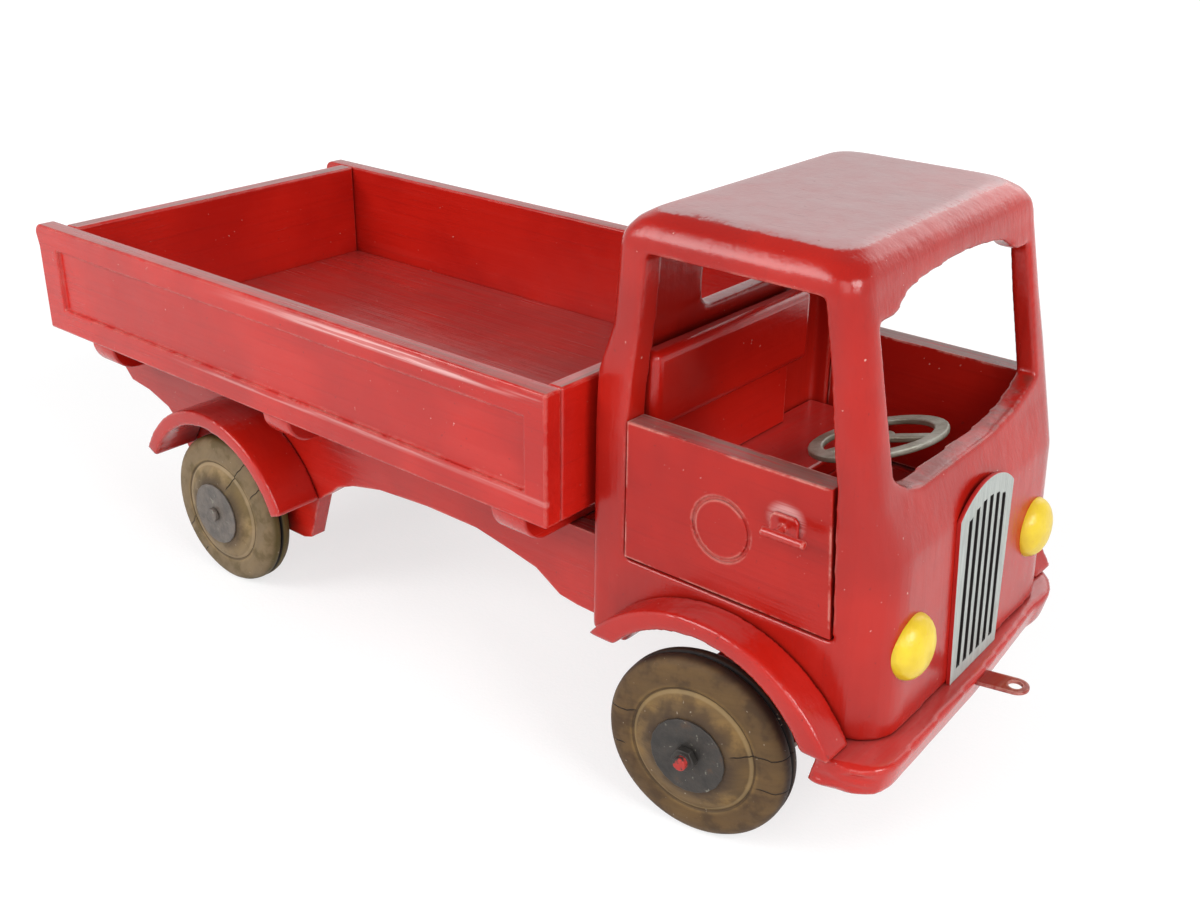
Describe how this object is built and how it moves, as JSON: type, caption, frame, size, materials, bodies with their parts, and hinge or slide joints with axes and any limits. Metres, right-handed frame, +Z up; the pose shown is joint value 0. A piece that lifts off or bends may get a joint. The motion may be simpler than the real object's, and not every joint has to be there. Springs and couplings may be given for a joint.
{
  "type": "wooden toy truck",
  "caption": "Handmade painted wooden toy truck with an open box bed, boxed cab with opening doors, steered front wheels and turned wooden wheels.",
  "frame": {"origin": "on the ground, under the middle of the truck's overall length and width", "axes": "+X forward, towards the grille; +Y to the truck's left; +Z up"},
  "size_m": [0.6112, 0.2472, 0.2835],
  "materials": {
    "red_paint": "gloss brush paint",
    "wheel_wood": "worn, oiled",
    "lamp_paint": "gloss brush paint",
    "grille_paint": "satin brush paint",
    "dull_steel": "dull, rusty",
    "helm_metal": "dull cast",
    "painted_iron": "worn paint"
  },
  "bodies": {
    "truck": {"axle_bolster": "red_paint", "bed_bearer_front": "red_paint", "bed_bearer_middle": "red_paint", "bed_bearer_rear": "red_paint", "bed_floor": "red_paint", "bed_headboard": "red_paint", "bed_side_left": "red_paint", "bed_side_right": "red_paint", "bed_tailgate": "red_paint", "bumper": "red_paint", "cab_back": "red_paint", "cab_floor": "red_paint", "cab_front": "red_paint", "cab_roof": "red_paint", "cab_side_left": "red_paint", "cab_side_right": "red_paint", "chassis_block_front": "red_paint", "chassis_block_rear": "red_paint", "chassis_side_left": "red_paint", "chassis_side_right": "red_paint", "fender_front_left": "red_paint", "fender_front_right": "red_paint", "fender_rear_left": "red_paint", "fender_rear_right": "red_paint", "front_axle_beam": "red_paint", "grille": "grille_paint", "headlamp_left": "lamp_paint", "headlamp_right": "lamp_paint", "hub_nut_rear_left": "dull_steel", "hub_nut_rear_right": "dull_steel", "kingpin_left": "dull_steel", "kingpin_right": "dull_steel", "pull_tab": "painted_iron", "rear_axle": "dull_steel", "seat_backrest": "red_paint", "seat_board": "red_paint", "seat_front": "red_paint", "seat_riser": "red_paint"},
    "wheel_front_right": {"wheel_front_right": "wheel_wood", "hub_washer_front_right": "dull_steel"},
    "wheel_front_left": {"wheel_front_left": "wheel_wood", "hub_washer_front_left": "dull_steel"},
    "wheel_rear_right": {"wheel_rear_right": "wheel_wood", "hub_washer_rear_right": "dull_steel"},
    "wheel_rear_left": {"wheel_rear_left": "wheel_wood", "hub_washer_rear_left": "dull_steel"},
    "knuckle_right": {"knuckle_right": "dull_steel", "hub_nut_front_right": "dull_steel"},
    "knuckle_left": {"knuckle_left": "dull_steel", "hub_nut_front_left": "dull_steel"},
    "tie_bar": {"tie_bar": "dull_steel"},
    "steering": {"steering_wheel": "helm_metal", "steering_column": "dull_steel"},
    "door_right": {"door_right": "red_paint", "door_handle_right": "painted_iron"},
    "door_left": {"door_left": "red_paint", "door_handle_left": "painted_iron"}
  },
  "joints": [
    {"name": "door_right_hinge", "type": "hinge", "parent": "truck", "child": "door_right", "pos_m": [0.1414, -0.094, 0.155], "axis": [0, 0, -1], "range_deg": [0, 80]},
    {"name": "door_left_hinge", "type": "hinge", "parent": "truck", "child": "door_left", "pos_m": [0.1414, 0.094, 0.155], "axis": [0, 0, 1], "range_deg": [0, 80]},
    {"name": "steer_right", "type": "hinge", "parent": "truck", "child": "knuckle_right", "pos_m": [0.192, -0.076, 0.0465], "axis": [0, 0, 1], "range_deg": [-22.5, 7.5]},
    {"name": "steer_left", "type": "hinge", "parent": "truck", "child": "knuckle_left", "pos_m": [0.192, 0.076, 0.0465], "axis": [0, 0, 1], "range_deg": [-22.5, 7.5]},
    {"name": "tie_pivot", "type": "hinge", "parent": "knuckle_right", "child": "tie_bar", "pos_m": [0.21778, -0.07261, 0.035], "axis": [0, 0, 1], "range_deg": [-7.5, 22.5]},
    {"name": "steering_turn", "type": "hinge", "parent": "truck", "child": "steering", "pos_m": [0.217, 0, 0.17], "axis": [-0.2924, 0, 0.9563], "range_deg": [-67.5, 22.5]},
    {"name": "roll_front_right", "type": "hinge", "parent": "knuckle_right", "child": "wheel_front_right", "pos_m": [0.192, -0.076, 0.0465], "axis": [-0.1305, 0.9914, 0], "continuous": true},
    {"name": "roll_front_left", "type": "hinge", "parent": "knuckle_left", "child": "wheel_front_left", "pos_m": [0.192, 0.076, 0.0465], "axis": [-0.1305, 0.9914, 0], "continuous": true},
    {"name": "roll_rear_right", "type": "hinge", "parent": "truck", "child": "wheel_rear_right", "pos_m": [-0.1626, -0.1, 0.0465], "axis": [0, 1, 0], "continuous": true},
    {"name": "roll_rear_left", "type": "hinge", "parent": "truck", "child": "wheel_rear_left", "pos_m": [-0.1626, 0.1, 0.0465], "axis": [0, 1, 0], "continuous": true}
  ],
  "couplings": [
    {"joint": "steer_left", "follows": "steer_right", "ratio": 1},
    {"joint": "tie_pivot", "follows": "steer_right", "ratio": -1},
    {"joint": "steering_turn", "follows": "steer_right", "ratio": 3}
  ]
}
